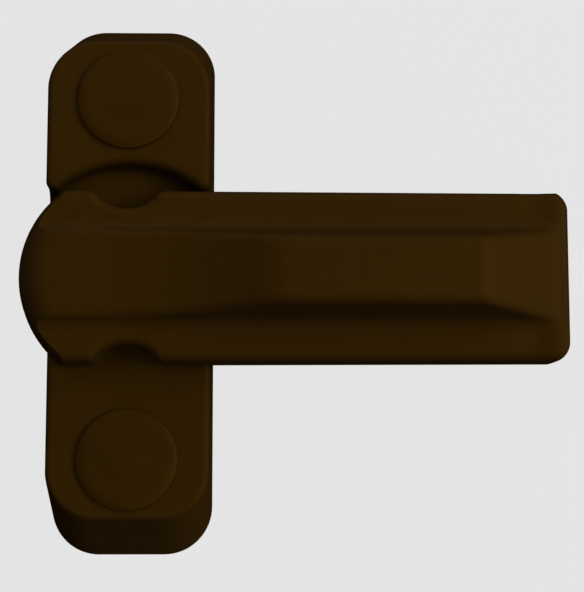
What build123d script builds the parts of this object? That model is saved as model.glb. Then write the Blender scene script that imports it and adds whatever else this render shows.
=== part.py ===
from build123d import *
from math import acos, cos, hypot, radians, sin, sqrt, tan
import os

# Sash stopper: a cast base that is screwed to the window frame, and a cast arm that turns on it.
# Millimetres. The origin is on the arm's pivot, on the plane of the frame that the base is
# screwed to. +Z points away from the frame, +X along the locked arm, +Y to the stop pad.

# Base casting
base_length = 70.0
base_width = 20.9
foot_corner = 6.2
crown_corner = 6.4
side_lean = 0.1          # how far each long side leans in over the pad's height
floor_height = 8.2       # the low half, which the arm parks over
pad_height = 11.9        # the raised pad, which stops the arm
low_end_lean = 5.0       # how far the low end's wall leans in, up to the floor
pad_end_lean = 4.7       # the same at the pad's end, up to the pad's top
rim_round = 0.8
skin = 2.2               # thickness of the cast top
side_wall = 1.9
end_wall = 6.2           # at the foot, where the leaning end walls are thickest
rib_thickness = 1.6

# Stop recess in the pad: a round wall behind the arm's head and two flat faces for its side
stop_land = 1.46         # width of each flat stop face
stop_draft = 4.0         # degrees that the stop's walls lean back
stop_gap = 0.12          # between the locked arm's side and the flat stop faces
stop_round = 1.1         # along the top of the walls
stop_foot_round = 1.1    # along their foot

# Fixing holes and their caps
screw_from_end = 12.3
screw_hole_radius = 2.3
screw_head_radius = 4.3
screw_boss_radius = 6.3
cap_radius = 6.35
cap_gap = 0.04
cap_seat_depth = 1.7
cap_proud = 0.8
cap_round = 1.1
cap_crown = 0.2
cap_wall = 0.9
pry_notch_width = 1.4    # a notch in the cap's rim for lifting it out
pry_notch_depth = 0.35
pry_notch_angle = 56.0

# Arm casting
arm_underside = 9.4
shoulder_height = 14.0
head_height = 15.5       # top of the ridge over the pivot
ridge_height = 20.7      # top of the ridge along the grip
rim_height = 14.3        # the slightly raised edge at the tip
head_gap = 0.55          # between the head and the recess's round wall
head_dome = 4.0          # rounding of the head's back edge
arm_tip = 55.2           # from the pivot
arm_head_width = 22.0
arm_tip_width = 21.5
tip_corner = 2.6
side_lean_in = 0.3       # how far each side of the arm leans in, up to the shoulder
shoulder_round = 1.4
rim_edge_round = 1.1
rim_step = 1.8           # length of the slope from the shoulders up to the rim
ridge_foot_width = 11.6  # between the sharp corners that the roundings replace
ridge_side_angle = 74.6  # degrees from the shoulders
ridge_foot_round = 2.2
ridge_edge_round = 1.4
ramp_start = -4.6
ramp_end = 18.5
ramp_blend = 0.9         # how much of the corner at the ramp's end is rounded off
grip_end = 43.7
grip_end_blend = 0.5     # the same at the grip's end
bend_reach = 3.0         # how far the roundings of the ridge's corners may reach along it
overrun = 0.5            # how far the bar runs past the outline that trims it
shoulder_end = 51.2      # where the shoulders start to rise to the tip
scallop_radius = 5.0
scallop_centre = 13.5    # from the arm's middle line
scallop_round = 1.2
arm_wall = 2.0
pocket_start = 12.5
pocket_end = 52.0
ridge_pocket_start = 14.0
ridge_pocket_width = 3.9

# Pivot: a cast spindle in a plastic bush, held from behind
spindle_radius = 4.5
running_gap = 0.05
bush_wall = 1.0
flange_radius = 7.6
flange_round = 0.3
hub_radius = 8.2
hub_underside = 3.6
spring_washer_height = 0.8
spring_washer_thickness = 0.35
spring_washer_gap = 0.4  # round the spindle
washer_radius = 6.6
washer_thickness = 0.8
pivot_screw_radius = 2.0
pivot_head_radius = 3.6
pivot_head_height = 1.3
pivot_head_round = 0.4
pivot_screw_length = 6.0
cross_length = 3.6
cross_width = 0.8
cross_depth = 0.9
slip = 0.03              # clearance that lets pieces turn or go together

screw_reach = base_length / 2 - screw_from_end
screw_places = [(0, screw_reach), (0, -screw_reach)]
low_lean_at_pad = low_end_lean * pad_height / floor_height
crown_length = base_length - low_lean_at_pad - pad_end_lean
crown_middle = (low_lean_at_pad - pad_end_lean) / 2
stop_face = arm_head_width / 2 + stop_gap
stop_radius = hypot(stop_face, base_width / 2 - stop_land)
head_radius = stop_radius - head_gap
bush_bore = spindle_radius + running_gap
bush_radius = bush_bore + bush_wall
spindle_end = hub_underside - spring_washer_height - slip
tip_slope_end = arm_tip - rim_edge_round
on_plane = (Align.CENTER, Align.CENTER, Align.MIN)


def upright(x=0, y=0, z=0):
    """The plane through a point that holds X and Z, for profiles seen from the low end."""
    return Plane(origin=(x, y, z), x_dir=(1, 0, 0), z_dir=(0, -1, 0))


def across(x):
    """The plane across the arm at x, for its cross-sections."""
    return Plane(origin=(x, 0, 0), x_dir=(0, 1, 0), z_dir=(1, 0, 0))


def recess_profile(back, reach):
    """The stop recess from the side: its floor, its leaning wall, and a rounded foot and rim."""
    wall_top = reach + (pad_height - floor_height) * tan(radians(stop_draft))
    with BuildSketch() as profile:
        with BuildLine():
            beyond = wall_top + 2 * stop_round
            Polyline((back, floor_height), (reach, floor_height), (wall_top, pad_height),
                     (beyond, pad_height), (beyond, 2 * pad_height), (back, 2 * pad_height),
                     (back, floor_height))
        make_face()
        fillet(profile.vertices().filter_by(lambda v: abs(v.X - reach) < slip), stop_foot_round)
        fillet(profile.vertices().filter_by(lambda v: abs(v.X - wall_top) < slip), stop_round)
    return profile.sketch


def on_outer_rim(edge):
    """Whether an edge runs along the outside of the base's top, round both halves."""
    middle = edge.center()
    outside = abs(middle.X) > base_width / 2 - side_lean - slip or abs(middle.Y) > screw_reach
    return outside and middle.Z > floor_height - slip


# The base: walls that lean in from the foot, a low half, and a pad with the stop recess
with BuildPart() as base_body:
    with BuildSketch(Plane.XY):
        RectangleRounded(base_width, base_length, foot_corner)
    with BuildSketch(Plane.XY.offset(pad_height)):
        with Locations((0, crown_middle)):
            RectangleRounded(base_width - 2 * side_lean, crown_length, crown_corner)
    loft(ruled=True)
    with BuildSketch(across(-base_width)):
        add(recess_profile(-base_length, stop_face))
    extrude(amount=2 * base_width, mode=Mode.SUBTRACT)
    with BuildSketch(upright()):
        add(recess_profile(0, stop_radius))
    revolve(axis=Axis.Z, mode=Mode.SUBTRACT)
    fillet(base_body.edges().filter_by(on_outer_rim), rim_round)

    # the hollow back: walls, a middle rib, two screw bosses and the pivot's hub stay
    for start, depth in ((0, floor_height - skin), (floor_height - skin, pad_height - floor_height)):
        with BuildSketch(Plane.XY.offset(start)):
            RectangleRounded(base_width - 2 * side_wall, base_length - 2 * end_wall, foot_corner - side_wall)
            Rectangle(rib_thickness, base_length, mode=Mode.SUBTRACT)
            Circle(hub_radius, mode=Mode.SUBTRACT)
            with Locations(screw_places):
                Circle(screw_boss_radius, mode=Mode.SUBTRACT)
            if start:
                with Locations((0, stop_radius + skin - base_length)):
                    Rectangle(base_width, 2 * base_length, mode=Mode.SUBTRACT)
        extrude(amount=depth, mode=Mode.SUBTRACT)
    Cylinder(hub_radius, hub_underside, align=on_plane, mode=Mode.SUBTRACT)
    Cylinder(bush_radius + slip, pad_height, align=on_plane, mode=Mode.SUBTRACT)

    # the two fixing holes, each under a round seat for its cap
    for (x, y), top in zip(screw_places, (pad_height, floor_height)):
        with Locations((x, y, top)):
            Cylinder(cap_radius + cap_gap, 2 * cap_seat_depth, mode=Mode.SUBTRACT)
        with Locations((x, y, top - cap_seat_depth)):
            CounterSinkHole(screw_hole_radius, screw_head_radius)
base_body.part.label = "base_body"


def screw_cap(x, y, seat):
    """A shallow plastic cap whose skirt stands on its seat, a little proud of the casting."""
    top = cap_seat_depth + cap_proud
    under = top - cap_wall
    with BuildPart() as cap:
        with BuildSketch(upright(x, y, seat)):
            with BuildLine():
                Polyline((0, under), (cap_radius - cap_wall, under), (cap_radius - cap_wall, 0),
                         (cap_radius, 0), (cap_radius, top - cap_round))
                RadiusArc((cap_radius, top - cap_round), (cap_radius - cap_round, top), -cap_round)
                Spline((cap_radius - cap_round, top), (0, top + cap_crown),
                       tangents=((-1, 0), (-1, 0)))
                Line((0, top + cap_crown), (0, under))
            make_face()
        revolve(axis=Axis((x, y, seat), (0, 0, 1)))
        with Locations((x, y, seat + top)):
            with PolarLocations(cap_radius, 1, start_angle=pry_notch_angle):
                Box(2 * pry_notch_depth, pry_notch_width, 2 * pry_notch_depth, mode=Mode.SUBTRACT)
    return cap


upper_screw_cap = screw_cap(*screw_places[0], pad_height - cap_seat_depth)
upper_screw_cap.part.label = "upper_screw_cap"
lower_screw_cap = screw_cap(*screw_places[1], floor_height - cap_seat_depth)
lower_screw_cap.part.label = "lower_screw_cap"


def arm_width(x):
    """The arm narrows evenly from its head to its tip."""
    share = (x + head_radius) / (arm_tip + head_radius)
    return arm_head_width + share * (arm_tip_width - arm_head_width)


# The arm stays inside this outline: a rounded tip, room for the ridge, and a domed head
with BuildPart() as arm_outline:
    with BuildSketch(Plane.XY) as tip_plan:
        with BuildLine():
            wide = arm_width(0) / 2 + slip
            narrow = arm_width(arm_tip) / 2 + slip
            Polyline((0, wide), (arm_tip, narrow), (arm_tip, -narrow), (0, -wide), (0, wide))
        make_face()
        fillet(tip_plan.vertices().sort_by(Axis.X)[-2:], tip_corner)
    extrude(amount=rim_height)
    rim_edges = arm_outline.edges().filter_by(lambda e: abs(e.center().Z - rim_height) < slip)
    fillet(rim_edges.sort_by(Axis.X)[1:], rim_edge_round)
    with Locations(((ramp_start + tip_slope_end) / 2, 0, 0)):
        Box(tip_slope_end - ramp_start, ridge_foot_width + 4 * ridge_foot_round, 3 * ridge_height)
    with BuildSketch(upright()):
        with BuildLine():
            dome_start = head_height - head_dome
            Polyline((0, 0), (head_radius, 0), (head_radius, arm_underside),
                     (head_radius - side_lean_in, dome_start))
            dome_top = (head_radius - side_lean_in - head_dome, head_height)
            RadiusArc((head_radius - side_lean_in, dome_start), dome_top, -head_dome)
            Polyline(dome_top, (0, head_height), (0, 0))
        make_face()
    revolve(axis=Axis.Z)


def rounded_lower(high, low, blend):
    """The lower of two heights, where the corner between them is rounded over the blend."""
    near = max(blend - abs(high - low), 0)
    return min(high, low) - near**2 / (4 * blend)


def ridge_top(x):
    """The ridge seen from the side: level over the head, an arc up the ramp, level, and down."""
    run, rise = ramp_end - ramp_start, ridge_height - head_height
    arc_radius = (run**2 + rise**2) / (2 * rise)
    along = min(max(x - ramp_start, 0), arc_radius)
    ramp = head_height + arc_radius - sqrt(arc_radius**2 - along**2)
    fall = (ridge_height - rim_height) / (tip_slope_end - grip_end)
    slope = ridge_height - (x - grip_end) * fall
    top = rounded_lower(rounded_lower(ramp, ridge_height, ramp_blend), slope, grip_end_blend)
    return max(top, rim_height)


def shoulder_level(x):
    """The shoulders rise a little at the tip, in one smooth step."""
    share = min(max((x - shoulder_end) / rim_step, 0), 1)
    return shoulder_height + (rim_height - shoulder_height) * share**2 * (3 - 2 * share)


def bar_section(x):
    """The arm's cross-section: leaning sides, rounded shoulders, and the ridge between them.
    Each side of the ridge is a hollow arc, a straight part and a crest arc, and where the ridge
    is too low for both arcs they turn through a smaller angle."""
    half = arm_width(x) / 2
    side_top = half - side_lean_in
    level = shoulder_level(x)
    rise = max(ridge_top(x) - level, 2 * slip)
    lean = radians(ridge_side_angle)
    both = ridge_foot_round + ridge_edge_round
    turn = acos(max(1 - (rise - slip) / both, cos(lean)))
    straight = (rise - both * (1 - cos(turn))) / sin(turn)
    low_rise = ridge_foot_round * (1 - cos(turn))
    low = ridge_foot_width / 2 - low_rise / tan(lean)
    foot = low + ridge_foot_round * sin(turn)
    high = low - straight * cos(turn)
    high_rise = low_rise + straight * sin(turn)
    crest = high - ridge_edge_round * sin(turn)
    with BuildSketch(across(x)) as section:
        with BuildLine():
            for side in (1, -1):
                Polyline((side * half, arm_underside), (side * side_top, level), (side * foot, level))
                RadiusArc((side * foot, level), (side * low, level + low_rise), side * ridge_foot_round)
                Line((side * low, level + low_rise), (side * high, level + high_rise))
                RadiusArc((side * high, level + high_rise), (side * crest, level + rise),
                          -side * ridge_edge_round)
            Line((crest, level + rise), (-crest, level + rise))
            Line((half, arm_underside), (-half, arm_underside))
        make_face()
        corners = section.vertices().filter_by(lambda v: abs(abs(v.X) - side_top) < slip)
        fillet(corners, shoulder_round)
    return section.sketch


def on_scallop(edge):
    """Whether an edge runs round a scallop, up its sides or along its top."""
    middle = edge.center()
    nearby = abs(middle.X) < scallop_radius and abs(middle.Y) > scallop_centre - scallop_radius - slip
    return nearby and middle.Z > arm_underside + slip


# Where the arm's cross-sections are drawn: closer together where the ridge bends
bar_stations = [-head_radius - overrun, (ramp_start - head_radius) / 2]
bar_stations += [ramp_start + (ramp_end - bend_reach - ramp_start) * step / 7 for step in range(7)]
bar_stations += [ramp_end + bend_reach * share for share in (-1, -0.67, -0.33, 0, 0.33, 0.73)]
bar_stations += [ramp_end + (grip_end - ramp_end) * share for share in (0.3, 0.58, 0.81, 0.925)]
bar_stations += [grip_end + bend_reach * share for share in (-0.37, -0.17, 0, 0.17, 0.37, 0.7)]
bar_stations += [grip_end + (arm_tip - grip_end) * share for share in (0.32, 0.48, 0.635, 0.72, 0.81, 0.91)]
bar_stations += [arm_tip + overrun]

# The arm: a bar with a ridge through all these sections, trimmed to its outline
with BuildPart() as swing_arm:
    for x in bar_stations:
        add(bar_section(x))
    loft()
    add(arm_outline.part, mode=Mode.INTERSECT)
    with Locations((0, scallop_centre, 0), (0, -scallop_centre, 0)):
        Cylinder(scallop_radius, 3 * ridge_height, mode=Mode.SUBTRACT)
    fillet(swing_arm.edges().filter_by(on_scallop), scallop_round)

    # the hollow underside: a shallow pocket along the bar and a deeper one up into the ridge
    with BuildSketch(Plane.XY.offset(arm_underside)):
        with Locations(((pocket_start + pocket_end) / 2, 0)):
            RectangleRounded(pocket_end - pocket_start, arm_tip_width - 2 * arm_wall, tip_corner)
    extrude(amount=shoulder_height - arm_wall - arm_underside, mode=Mode.SUBTRACT)
    with BuildSketch(upright()):
        with BuildLine():
            ceiling = shoulder_height - arm_wall - slip
            Polyline((ridge_pocket_start, ceiling), (ramp_end, ridge_height - arm_wall),
                     (grip_end, ridge_height - arm_wall), (pocket_end, ceiling),
                     (ridge_pocket_start, ceiling))
        make_face()
    extrude(amount=ridge_pocket_width / 2, both=True, mode=Mode.SUBTRACT)

    # the cast spindle, drilled for its screw
    with Locations((0, 0, spindle_end)):
        Cylinder(spindle_radius, shoulder_height - spindle_end, align=on_plane)
        Cylinder(pivot_screw_radius + slip, pivot_screw_length + slip, align=on_plane, mode=Mode.SUBTRACT)
swing_arm.part.label = "swing_arm"

# The plastic bush: its sleeve lines the hub and its flange carries the arm's head
with BuildPart() as pivot_bush:
    with Locations((0, 0, hub_underside)):
        Cylinder(bush_radius, arm_underside - slip - hub_underside, align=on_plane)
    with Locations((0, 0, floor_height)):
        Cylinder(flange_radius, arm_underside - slip - floor_height, align=on_plane)
    Cylinder(bush_bore, arm_underside, align=on_plane, mode=Mode.SUBTRACT)
    flange_rims = pivot_bush.edges().filter_by(GeomType.CIRCLE).sort_by(SortBy.RADIUS)[-2:]
    fillet(flange_rims.sort_by(Axis.Z)[-1], flange_round)
pivot_bush.part.label = "pivot_bush"

# The dished spring washer under the hub, and the flat washer that presses it
with BuildPart() as spring_washer:
    with BuildSketch(upright()):
        with BuildLine():
            low = spindle_end + slip
            high = hub_underside - slip - spring_washer_thickness
            inner = spindle_radius + spring_washer_gap
            Polyline((inner, low), (washer_radius, high), (washer_radius, high + spring_washer_thickness),
                     (inner, low + spring_washer_thickness), (inner, low))
        make_face()
    revolve(axis=Axis.Z)
spring_washer.part.label = "spring_washer"

with BuildPart() as thrust_washer:
    with Locations((0, 0, spindle_end - washer_thickness)):
        Cylinder(washer_radius, washer_thickness, align=on_plane)
        Cylinder(pivot_screw_radius + 2 * slip, washer_thickness, align=on_plane, mode=Mode.SUBTRACT)
thrust_washer.part.label = "thrust_washer"

# The screw that holds the arm from behind: a flat round head with a cross slot
with BuildPart() as pivot_screw:
    with Locations((0, 0, spindle_end - washer_thickness - pivot_head_height)):
        Cylinder(pivot_head_radius, pivot_head_height, align=on_plane)
        Cylinder(pivot_screw_radius, pivot_head_height + washer_thickness + pivot_screw_length - slip,
                 align=on_plane)
    rim = pivot_screw.edges().sort_by(Axis.Z)[0]
    fillet(rim, pivot_head_round)
    with BuildSketch(Plane.XY.offset(spindle_end - washer_thickness - pivot_head_height)):
        Rectangle(cross_length, cross_width)
        Rectangle(cross_width, cross_length)
    extrude(amount=cross_depth, mode=Mode.SUBTRACT)
pivot_screw.part.label = "pivot_screw"

os.makedirs("parts", exist_ok=True)
for piece in (base_body, upper_screw_cap, lower_screw_cap, swing_arm, pivot_bush, spring_washer,
              thrust_washer, pivot_screw):
    export_step(piece.part, f"parts/{piece.part.label}.step")
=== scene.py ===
# %% [markdown]
# # A sash stopper on a pale table
#
# A sash stopper holds a window shut: its cast base is screwed to the window frame, and its arm
# swings over the edge of the sash. The castings, caps, washers and screw come from the packed
# model, in metres, with the pivot at the origin and the back of the base on the floor. This
# lesson gives them their finishes, turns the two screw caps as smooth surfaces, and sets the
# table, the camera and the light.

import bpy
import numpy as np
from mathutils import Matrix, Vector


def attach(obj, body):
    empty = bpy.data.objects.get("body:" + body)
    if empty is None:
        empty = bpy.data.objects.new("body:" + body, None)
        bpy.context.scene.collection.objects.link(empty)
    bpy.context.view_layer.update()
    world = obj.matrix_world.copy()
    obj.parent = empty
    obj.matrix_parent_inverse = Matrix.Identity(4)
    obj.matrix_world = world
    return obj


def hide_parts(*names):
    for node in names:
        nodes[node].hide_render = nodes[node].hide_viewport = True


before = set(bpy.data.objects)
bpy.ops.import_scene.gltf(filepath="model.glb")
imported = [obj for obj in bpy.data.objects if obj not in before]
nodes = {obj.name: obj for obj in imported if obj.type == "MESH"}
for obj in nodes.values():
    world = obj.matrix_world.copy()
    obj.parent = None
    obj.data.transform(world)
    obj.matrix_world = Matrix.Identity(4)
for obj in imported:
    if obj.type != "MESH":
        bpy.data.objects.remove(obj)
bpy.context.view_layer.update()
print("pieces:", ", ".join(sorted(nodes)))

# %% [markdown]
# ## The camera
#
# The picture was taken from straight above the table, a little below and to the right of the
# pivot. Such a camera can be found by matching edges by eye, or worked out from a few lengths of
# the object. Here three small turns, a place and a focal length in pixels were worked out, and
# the lens follows from the picture's width. Rows of a turn matrix are the camera's own axes.

# %% Camera
PICTURE_WIDTH = 584
FOCAL_PIXELS = 1418.07
CAMERA_PLACE = (0.017505, -0.022721, 0.188079)
CAMERA_TURNS = (-0.115, 0.018, -0.002)      # radians about X, then Y, then Z
SENSOR_WIDTH = 36.0                         # millimetres
NEAREST = 0.01                              # nothing closer than this is drawn

camera_data = bpy.data.cameras.new("camera")
camera_data.sensor_fit = "HORIZONTAL"
camera_data.sensor_width = SENSOR_WIDTH
camera_data.lens = FOCAL_PIXELS / PICTURE_WIDTH * SENSOR_WIDTH
camera_data.clip_start = NEAREST
camera = bpy.data.objects.new("camera", camera_data)
bpy.context.scene.collection.objects.link(camera)

turn_x, turn_y, turn_z = CAMERA_TURNS
about_z, about_y = Matrix.Rotation(turn_z, 3, "Z"), Matrix.Rotation(turn_y, 3, "Y")
world_to_camera = about_z @ about_y @ Matrix.Rotation(turn_x, 3, "X")
camera.matrix_world = Matrix.Translation(CAMERA_PLACE) @ world_to_camera.transposed().to_4x4()
bpy.context.scene.camera = camera
print("lens", round(camera_data.lens, 1), "mm")

# %% [markdown]
# ## A pale table
#
# The object lies on a wide flat table. One large square would do, as Blender's own plane is.
# Here it is the first use of a small helper that the caps need too: it takes a grid of points
# from numpy and joins each four neighbours to a face. The grid comes from two ramps of numbers,
# a hair under the floor's height so that it never meets the back of the base.

# %% Table
def surface(name, points, closed_round=False):
    """A mesh from a grid of points: rows are the first parameter and columns the second.
    Each four neighbours make one face, and closed_round joins the last column to the first."""
    rows, columns = points.shape[:2]
    index = np.arange(rows * columns).reshape(rows, columns)
    if closed_round:
        index = np.concatenate([index, index[:, :1]], axis=1)
    faces = np.stack([index[:-1, :-1], index[:-1, 1:], index[1:, 1:], index[1:, :-1]], axis=-1)
    mesh = bpy.data.meshes.new(name)
    mesh.from_pydata(points.reshape(-1, 3).tolist(), [], faces.reshape(-1, 4).tolist())
    mesh.shade_smooth()
    piece = bpy.data.objects.new(name, mesh)
    bpy.context.scene.collection.objects.link(piece)
    return piece


TABLE_HALF = 1.5
TABLE_POINTS = 25
TABLE_SINK = 0.00002
ramp = np.linspace(-TABLE_HALF, TABLE_HALF, TABLE_POINTS)
table_x, table_y = np.meshgrid(ramp, ramp, indexing="xy")
table = surface("table", np.stack([table_x, table_y, np.full_like(table_x, -TABLE_SINK)], axis=-1))
print("table", len(table.data.polygons), "faces")

# %% [markdown]
# ## The table's finish
#
# In the picture the table is pale and even, with hardly any shadow. A plain white finish would
# show how the lamps' light falls off, and would throw much of it up at the dark sides of the
# castings. So this table shows the camera an even pale grey of its own, as a light table does,
# and scatters only a little of what the lamps send.

# %% Table finish
def new_material(name):
    """A fresh node material, with its node tree and its Principled shader."""
    material = bpy.data.materials.new(name)
    material.use_nodes = True
    tree = material.node_tree
    return material, tree, tree.nodes["Principled BSDF"]


TABLE_SCATTER = 0.02        # share of the lamps' light that it gives back
TABLE_SEEN = 0.768          # how bright the camera sees it
TABLE_ROUGHNESS = 0.9

table_material, tree, shader = new_material("pale_table")
shader.inputs["Base Color"].default_value = (TABLE_SCATTER, TABLE_SCATTER, TABLE_SCATTER, 1)
shader.inputs["Roughness"].default_value = TABLE_ROUGHNESS
shader.inputs["Specular IOR Level"].default_value = 0.0
shader.inputs["Emission Color"].default_value = (1, 1, 1, 1)
light_path = tree.nodes.new("ShaderNodeLightPath")
strength = tree.nodes.new("ShaderNodeMapRange")
strength.inputs["To Max"].default_value = TABLE_SEEN
tree.links.new(light_path.outputs["Is Camera Ray"], strength.inputs["Value"])
tree.links.new(strength.outputs["Result"], shader.inputs["Emission Strength"])
table.data.materials.append(table_material)

# %% [markdown]
# ## Soft light from the right and from behind
#
# The right and far sides of the object are bright and the left and near sides are dark, with
# no hard shadow anywhere: the light of a few large softboxes. A sky image could give such
# light, but lamps are easier to change one at a time. Each row gives one of them as seen from
# the pivot: how high it stands and where round the table, both in degrees, and how bright it
# is. The strongest two stand half high, one on the right and one behind to the right. Two
# higher ones fill the light from above, and the low ones pick out the sides. A disc lamp's
# power is its brightness times its area times pi.

# %% Softboxes
SOFTBOX_DISTANCE = 1.0
SOFTBOX_WIDTH = 0.5
SOFTBOX_AREA = np.pi * (SOFTBOX_WIDTH / 2) ** 2
SOFTBOXES = {
    "key_right": (40, 0, 6.80),
    "key_behind": (40, 45, 3.42),
    "low_behind": (15, 90, 2.28),
    "low_right": (15, 315, 2.27),
    "low_far_left": (15, 135, 1.09),
    "low_left": (15, 180, 0.71),
    "high_front": (65, 300, 2.11),
    "high_behind": (65, 120, 1.72),
}

for name, (height_angle, round_angle, brightness) in SOFTBOXES.items():
    data = bpy.data.lights.new(name, "AREA")
    data.shape = "DISK"
    data.size = SOFTBOX_WIDTH
    data.energy = brightness * SOFTBOX_AREA * np.pi
    up, turn = np.radians(height_angle), np.radians(round_angle)
    toward = Vector((np.cos(up) * np.cos(turn), np.cos(up) * np.sin(turn), np.sin(up)))
    facing = toward.to_track_quat("Z", "Y").to_matrix().to_4x4()
    softbox = bpy.data.objects.new(name, data)
    softbox.matrix_world = Matrix.Translation(SOFTBOX_DISTANCE * toward) @ facing
    bpy.context.scene.collection.objects.link(softbox)

world = bpy.data.worlds.new("room")
world.use_nodes = True
world.node_tree.nodes["Background"].inputs["Strength"].default_value = 0.0
bpy.context.scene.world = world
bpy.context.scene.view_settings.view_transform = "Standard"
print("softboxes:", len(SOFTBOXES))

# %% [markdown]
# ## Powder coat
#
# Both castings are powder coated in a dark brown. Baked powder never flows quite flat: its
# surface keeps a fine orange peel, and colour and gloss change a little from place to place. An
# image could show it, but it would stretch over the edges. Noise in object space has one scale
# all round the casting. One noise feeds the bump, and a coarser one shades colour and gloss.
# The pigment also tints the sheen, so the specular tint is brown too.

# %% Powder coat
NOISE_LOW, NOISE_HIGH = 0.3, 0.7    # where nearly all of the noise lies
CLOUD_SIZE = 0.003                  # of the patches that shade colour and gloss
FINE_DETAIL = 3.0


def noise(tree, size, detail, stretch=(1, 1, 1)):
    """Noise in object space, whose features are about as large as size, in metres. A stretch
    under one along an axis draws the features out along it."""
    place = tree.nodes.new("ShaderNodeTexCoord")
    squeeze = tree.nodes.new("ShaderNodeMapping")
    squeeze.inputs["Scale"].default_value = stretch
    pattern = tree.nodes.new("ShaderNodeTexNoise")
    pattern.inputs["Scale"].default_value = 1.0 / size
    pattern.inputs["Detail"].default_value = detail
    tree.links.new(place.outputs["Object"], squeeze.inputs["Vector"])
    tree.links.new(squeeze.outputs["Vector"], pattern.inputs["Vector"])
    return pattern.outputs["Fac"]


def spread(tree, source, low, high):
    """A value that runs from low to high as noise goes from its usual lowest to its highest."""
    stretch = tree.nodes.new("ShaderNodeMapRange")
    stretch.inputs["From Min"].default_value = NOISE_LOW
    stretch.inputs["From Max"].default_value = NOISE_HIGH
    stretch.inputs["To Min"].default_value = low
    stretch.inputs["To Max"].default_value = high
    tree.links.new(source, stretch.inputs["Value"])
    return stretch.outputs["Result"]


def mottle(tree, shader, pattern, color, contrast, roughness, uneven):
    """Shades the colour by the contrast, up and down, and the roughness by the unevenness."""
    shade = tree.nodes.new("ShaderNodeMix")
    shade.data_type = "RGBA"
    shade.inputs["A"].default_value = (*[c * (1 - contrast) for c in color], 1)
    shade.inputs["B"].default_value = (*[c * (1 + contrast) for c in color], 1)
    tree.links.new(spread(tree, pattern, 0.0, 1.0), shade.inputs["Factor"])
    tree.links.new(shade.outputs["Result"], shader.inputs["Base Color"])
    dullness = spread(tree, pattern, roughness - uneven, roughness + uneven)
    tree.links.new(dullness, shader.inputs["Roughness"])


def roughen(tree, shader, pattern, depth):
    """Bump from a pattern, as deep as the depth in metres."""
    bump = tree.nodes.new("ShaderNodeBump")
    bump.inputs["Strength"].default_value = 1.0
    bump.inputs["Distance"].default_value = depth
    tree.links.new(pattern, bump.inputs["Height"])
    tree.links.new(bump.outputs["Normal"], shader.inputs["Normal"])


COAT_BROWN = (0.0318, 0.0147, 0.0014)
SHEEN_LEVEL = 0.15
SHEEN_TINT = (1.0, 0.44, 0.05, 1)


def brown_finish(name, color, roughness, peel_size, peel_depth):
    """The brown of castings and caps: slightly mottled, with an orange peel and a tinted sheen."""
    material, tree, shader = new_material(name)
    clouds = noise(tree, CLOUD_SIZE, FINE_DETAIL)
    mottle(tree, shader, clouds, color, contrast=0.05, roughness=roughness, uneven=0.03)
    roughen(tree, shader, noise(tree, peel_size, FINE_DETAIL), peel_depth)
    shader.inputs["Specular IOR Level"].default_value = SHEEN_LEVEL
    shader.inputs["Specular Tint"].default_value = SHEEN_TINT
    return material


def paint(node, material):
    """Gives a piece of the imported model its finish."""
    nodes[node].data.materials.clear()
    nodes[node].data.materials.append(material)


powder_coat = brown_finish("powder_coat", COAT_BROWN, roughness=0.6,
                           peel_size=0.0005, peel_depth=0.000004)
for casting in ("base_body", "swing_arm"):
    paint(casting, powder_coat)

# %% [markdown]
# ## Screw caps
#
# The caps over the fixing screws are moulded shells: a crowned top, a wide soft edge, a skirt
# that goes down into its seat, and a hollow inside. Such a cap could be lathed from a curve with
# a Screw modifier. Here its profile is one array of radii and heights, turned round its axis by
# numpy, so the soft edge is a true arc of an ellipse. A small dent in the edge lets a blade lift
# the cap. The plastic is a shade darker and a little glossier than the coat.

# %% Screw caps
CAP_RADIUS = 0.00637
CAP_TOP = 0.0025            # height of the edge's start over the seat
CAP_CROWN = 0.0002          # how much higher the middle is
CAP_WALL = 0.0009
EDGE_REACH, EDGE_DROP, EDGE_TURN = 0.0018, 0.0003, np.radians(50)
CROWN_POINTS, EDGE_POINTS = 14, 18
DENT_ANGLE, DENT_HALF_WIDTH, DENT_DEPTH = np.radians(56), 0.0007, 0.00006
ROUND_POINTS = 144
CAP_SEATS = {"upper_screw_cap": (0, 0.0227, 0.0102), "lower_screw_cap": (0, -0.0227, 0.0065)}


def cap_profile():
    """Radius and height along the cap, from the top's middle over the edge, down the skirt, and
    up inside: the crown falls as one minus a smooth step, and the edge is an arc of an ellipse."""
    share = np.linspace(0, 1, CROWN_POINTS)
    flat = CAP_RADIUS - EDGE_REACH
    crown = np.stack([flat * share, CAP_TOP + CAP_CROWN * (1 - share**2 * (3 - 2 * share))])
    turn = np.linspace(0, EDGE_TURN, EDGE_POINTS)[1:]
    edge = np.stack([flat + EDGE_REACH * np.sin(turn) / np.sin(EDGE_TURN),
                     CAP_TOP - EDGE_DROP * (1 - np.cos(turn)) / (1 - np.cos(EDGE_TURN))])
    inner, under = CAP_RADIUS - CAP_WALL, CAP_TOP - CAP_WALL
    inside = np.array([[CAP_RADIUS, inner, inner, 0], [0, 0, under, under]])
    return np.concatenate([crown, edge, inside], axis=1)


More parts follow.
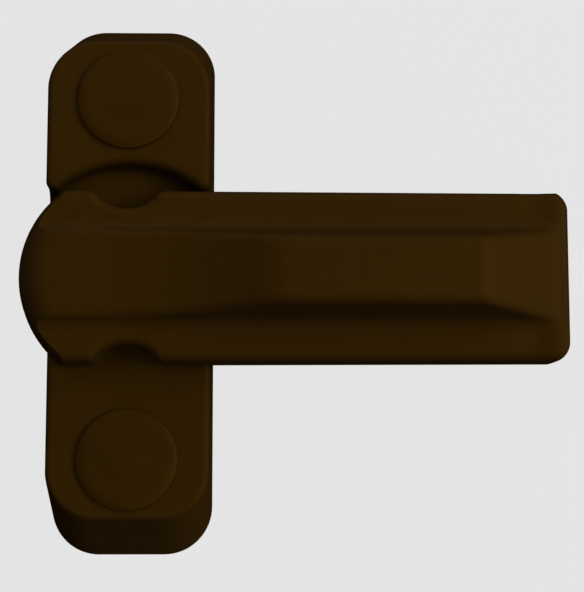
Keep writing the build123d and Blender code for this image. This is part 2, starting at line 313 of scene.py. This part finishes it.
def turned_cap(name, seat):
    """The profile turned round the seat's axis. The dent lowers the outer edge by a bell curve
    of the distance along the rim, so it has no corners."""
    radius, height = cap_profile()
    angle = np.linspace(0, 2 * np.pi, ROUND_POINTS + 1)[:-1]
    r, a = np.meshgrid(radius, angle, indexing="ij")
    z = np.repeat(height[:, None], len(angle), axis=1)
    along = r * (np.mod(a - DENT_ANGLE + np.pi, 2 * np.pi) - np.pi)
    outer = (r > CAP_RADIUS - EDGE_REACH / 2) & (z > CAP_TOP - EDGE_DROP)
    z = z - DENT_DEPTH * np.exp(-((along / DENT_HALF_WIDTH) ** 2)) * outer
    x, y = r * np.cos(a), r * np.sin(a)
    points = np.stack([x, y, z], axis=-1) + np.array(seat)
    return surface(name, points, closed_round=True)


CAP_SHADE = 0.94            # of the coat's colour
CAP_BROWN = tuple(c * CAP_SHADE for c in COAT_BROWN)
cap_plastic = brown_finish("cap_plastic", CAP_BROWN, roughness=0.45,
                           peel_size=0.0003, peel_depth=0.0000015)
for node, seat in CAP_SEATS.items():
    cap = turned_cap(node + "_turned", seat)
    cap.data.materials.append(cap_plastic)
    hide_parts(node)
    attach(cap, "base")
    print(node, len(cap.data.polygons), "faces")

# %% [markdown]
# ## Bush
#
# The bush between spindle and hub is moulded from natural nylon. It is pale and dull, with faint
# clouds where the melt cooled unevenly. One even colour would do for so hidden a piece, but the
# functions for the coat are there already, so it takes its clouds and fine grain from them.

# %% Bush
BUSH_PALE = (0.60, 0.59, 0.56)
bush_plastic, tree, shader = new_material("bush_plastic")
clouds = noise(tree, CLOUD_SIZE, FINE_DETAIL)
mottle(tree, shader, clouds, BUSH_PALE, contrast=0.04, roughness=0.55, uneven=0.05)
roughen(tree, shader, noise(tree, size=0.0002, detail=2.0), depth=0.000002)
paint("pivot_bush", bush_plastic)

# %% [markdown]
# ## Steel under the hub
#
# The dished washer is rolled spring steel, whose fine lines run one way. The flat washer and the
# screw are zinc plated, which leaves small cloudy patches. A brushed-metal image could show the
# lines. Noise drawn out along one axis gives them too, at the washer's true scale, and plain
# noise gives the clouds.

# %% Steel
SPRING_GREY = (0.42, 0.42, 0.43)
ZINC_PALE = (0.62, 0.60, 0.55)
ROLLED_ALONG_X = (0.05, 1, 1)
NO_STRETCH = (1, 1, 1)
STEEL_DETAIL, STEEL_UNEVEN = 4.0, 0.08


def metal_finish(name, color, pattern_size, stretch, contrast, roughness, depth):
    """Bare metal, shaded and roughened by one pattern."""
    material, tree, shader = new_material(name)
    pattern = noise(tree, pattern_size, STEEL_DETAIL, stretch)
    mottle(tree, shader, pattern, color, contrast, roughness, STEEL_UNEVEN)
    roughen(tree, shader, pattern, depth)
    shader.inputs["Metallic"].default_value = 1.0
    return material


spring_steel = metal_finish("spring_steel", SPRING_GREY, 0.0002, ROLLED_ALONG_X,
                            contrast=0.10, roughness=0.35, depth=0.000002)
plated_steel = metal_finish("plated_steel", ZINC_PALE, 0.0012, NO_STRETCH,
                            contrast=0.08, roughness=0.32, depth=0.000004)
paint("spring_washer", spring_steel)
paint("thrust_washer", plated_steel)
paint("pivot_screw", plated_steel)
